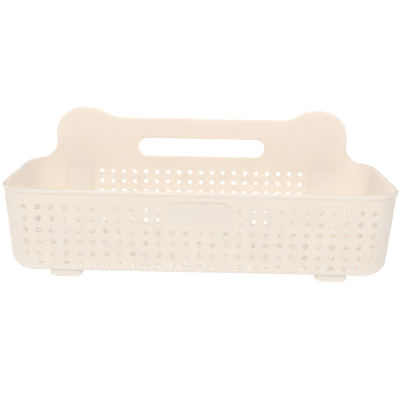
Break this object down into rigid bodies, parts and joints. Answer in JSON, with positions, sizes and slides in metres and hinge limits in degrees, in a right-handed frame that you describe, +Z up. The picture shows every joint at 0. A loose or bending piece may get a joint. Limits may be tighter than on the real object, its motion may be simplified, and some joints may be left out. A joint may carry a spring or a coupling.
{
  "type": "shower caddy",
  "caption": "Rounded perforated bathroom basket with a tall eared back panel, a handle slot, push-in feet and slide-on wall plates with adhesive pads.",
  "frame": {"origin": "on the floor under the middle of the whole part, wall plates included", "axes": "+X to the right seen from the front, +Y from the front to the wall, +Z up"},
  "size_m": [0.3014, 0.1324, 0.1188],
  "materials": {
    "basket_plastic": "satin cream moulding",
    "foot_plastic": "satin cream moulding",
    "plate_plastic": "satin off-white moulding",
    "pad_foam": "dull closed-cell foam tape"
  },
  "bodies": {
    "basket": {"basket_body": "basket_plastic", "foot_front_left": "foot_plastic", "foot_front_right": "foot_plastic", "foot_rear_left": "foot_plastic", "foot_rear_right": "foot_plastic"},
    "hook_left": {"wall_hook_left": "plate_plastic", "adhesive_pad_left": "pad_foam"},
    "hook_right": {"wall_hook_right": "plate_plastic", "adhesive_pad_right": "pad_foam"}
  },
  "joints": [
    {"name": "hook_left_slide", "type": "slide", "parent": "basket", "child": "hook_left", "axis": [0, 0, 1], "range_m": [-0.03, 0]},
    {"name": "hook_right_slide", "type": "slide", "parent": "basket", "child": "hook_right", "axis": [0, 0, 1], "range_m": [-0.03, 0]}
  ]
}
